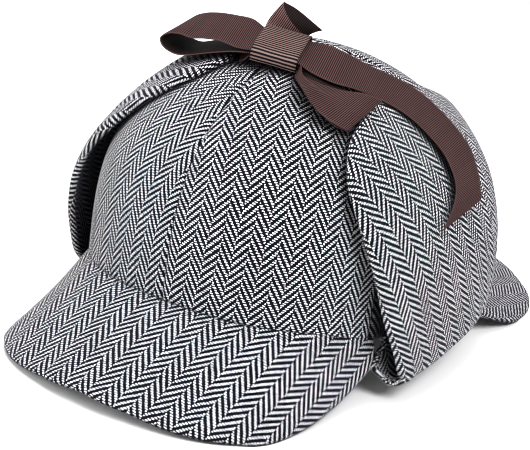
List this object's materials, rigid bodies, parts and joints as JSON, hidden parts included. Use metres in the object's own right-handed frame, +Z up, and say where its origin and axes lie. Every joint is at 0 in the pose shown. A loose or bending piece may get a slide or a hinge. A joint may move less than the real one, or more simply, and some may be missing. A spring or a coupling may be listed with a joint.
{
  "type": "deerstalker hat",
  "caption": "Herringbone tweed deerstalker hat standing on its front and back peaks, with its ear flaps folded up over the crown and tied on top in a ribbon bow.",
  "frame": {"origin": "centre of the hat's bounding box, on the surface it stands on", "axes": "+Z up; -Y towards the front peak, so the hat is longest along Y; +X towards the wearer's left; the hat is lowest along Z"},
  "size_m": [0.1951, 0.3186, 0.1619],
  "materials": {
    "crown_front_left": "black and white herringbone wool tweed, matt",
    "crown_side_left": "black and white herringbone wool tweed, matt",
    "crown_back_left": "black and white herringbone wool tweed, matt",
    "crown_back_right": "black and white herringbone wool tweed, matt",
    "crown_side_right": "black and white herringbone wool tweed, matt",
    "crown_front_right": "black and white herringbone wool tweed, matt",
    "front_peak": "black and white herringbone wool tweed, matt",
    "back_peak": "black and white herringbone wool tweed, matt",
    "ear_flap_left": "black and white herringbone wool tweed, matt",
    "ear_flap_right": "black and white herringbone wool tweed, matt",
    "bow_loop_left": "dark brown grosgrain ribbon, fine ribs across its width, matt with a slight sheen",
    "bow_loop_small": "dark brown grosgrain ribbon, fine ribs across its width, matt with a slight sheen",
    "ribbon_tail_long": "dark brown grosgrain ribbon, fine ribs across its width, matt with a slight sheen",
    "ribbon_tie_left": "dark brown grosgrain ribbon, fine ribs across its width, matt with a slight sheen",
    "ribbon_tie_right": "dark brown grosgrain ribbon, fine ribs across its width, matt with a slight sheen",
    "ribbon_tail_short": "dark brown grosgrain ribbon, fine ribs across its width, matt with a slight sheen",
    "bow_knot": "dark brown grosgrain ribbon, fine ribs across its width, matt with a slight sheen"
  },
  "bodies": {
    "root": {"crown_front_left": "crown_front_left", "crown_side_left": "crown_side_left", "crown_back_left": "crown_back_left", "crown_back_right": "crown_back_right", "crown_side_right": "crown_side_right", "crown_front_right": "crown_front_right", "front_peak": "front_peak", "back_peak": "back_peak", "ear_flap_left": "ear_flap_left", "ear_flap_right": "ear_flap_right", "bow_loop_left": "bow_loop_left", "bow_loop_small": "bow_loop_small", "ribbon_tail_long": "ribbon_tail_long", "ribbon_tie_left": "ribbon_tie_left", "ribbon_tie_right": "ribbon_tie_right", "ribbon_tail_short": "ribbon_tail_short", "bow_knot": "bow_knot"}
  },
  "joints": []
}
